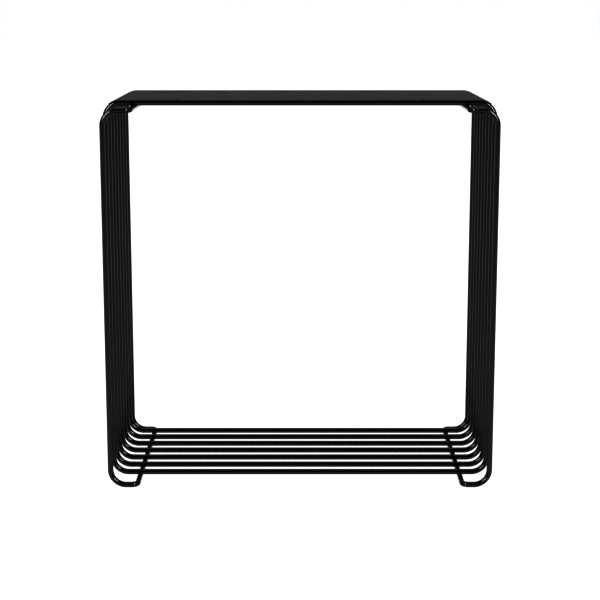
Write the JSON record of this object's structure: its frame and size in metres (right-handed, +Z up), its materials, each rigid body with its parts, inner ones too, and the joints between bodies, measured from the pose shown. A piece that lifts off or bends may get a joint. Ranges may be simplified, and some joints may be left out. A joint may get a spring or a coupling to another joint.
{
  "type": "firewood log rack",
  "caption": "Open cube of bent black steel wire that stacks split logs indoors: two side frames, a row of closed wire loops across them and a sheet top panel with rolled edges.",
  "frame": {"origin": "on the floor, in the middle of the footprint", "axes": "+X to the right of someone facing the front, +Y from the front opening to the back one, +Z up"},
  "size_m": [0.65, 0.35, 0.6509],
  "materials": {
    "coated_wire": "satin black powder coat on round steel wire",
    "coated_sheet": "satin black powder coat on steel sheet, fine orange-peel texture"
  },
  "bodies": {
    "root": {"side_frame_left": "coated_wire", "side_frame_right": "coated_wire", "wire_loop_1": "coated_wire", "wire_loop_2": "coated_wire", "wire_loop_3": "coated_wire", "wire_loop_4": "coated_wire", "wire_loop_5": "coated_wire", "wire_loop_6": "coated_wire", "wire_loop_7": "coated_wire", "top_panel": "coated_sheet"}
  },
  "joints": []
}
